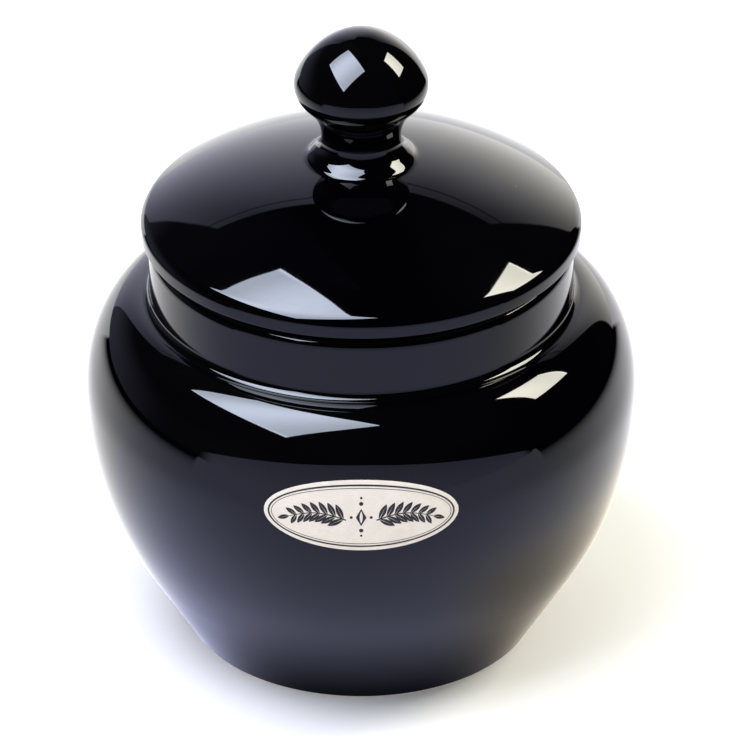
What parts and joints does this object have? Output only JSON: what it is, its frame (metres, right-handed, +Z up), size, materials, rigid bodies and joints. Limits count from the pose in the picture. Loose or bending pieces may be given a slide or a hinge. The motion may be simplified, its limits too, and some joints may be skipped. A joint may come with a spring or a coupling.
{
  "type": "tobacco jar",
  "caption": "Round black glazed stoneware tobacco jar with a rubber-sealed domed lid, a ball knob and a humidifier hung inside the lid.",
  "frame": {"origin": "centre of the foot ring's resting plane, on the jar's upright axis", "axes": "+Z up along the jar's axis, -Y towards the front, where the label is"},
  "size_m": [0.135, 0.1356, 0.1617],
  "materials": {
    "black_glaze": "jet black glaze with a mirror gloss over stoneware",
    "cream_paper": "uncoated cream label stock, printed in black",
    "grey_rubber": "soft dark grey silicone rubber",
    "plain_steel": "stamped steel disc",
    "nickel_plate": "nickel-plated magnet",
    "black_plastic": "moulded black plastic with a satin surface",
    "green_foam": "open-cell green foam that is wetted"
  },
  "bodies": {
    "jar": {"jar_body": "black_glaze", "label": "cream_paper"},
    "seal": {"seal_ring": "grey_rubber"},
    "lid": {"lid": "black_glaze", "lid_knob": "black_glaze", "humidifier_mount": "plain_steel"},
    "humidifier": {"humidifier_case": "black_plastic", "humidifier_foam": "green_foam", "humidifier_magnet": "nickel_plate"},
    "grille": {"humidifier_grille": "black_plastic"}
  },
  "joints": [
    {"name": "lid_lift", "type": "slide", "parent": "jar", "child": "seal", "axis": [0, 0, 1], "range_m": [0, 0.08]},
    {"name": "lid_turn", "type": "hinge", "parent": "seal", "child": "lid", "pos_m": [0, 0, 0.1075], "axis": [0, 0, 1], "continuous": true},
    {"name": "humidifier_pull", "type": "slide", "parent": "lid", "child": "humidifier", "axis": [0, 0, -1], "range_m": [0, 0.025]},
    {"name": "grille_pull", "type": "slide", "parent": "humidifier", "child": "grille", "axis": [0, 0, -1], "range_m": [0, 0.012]}
  ]
}
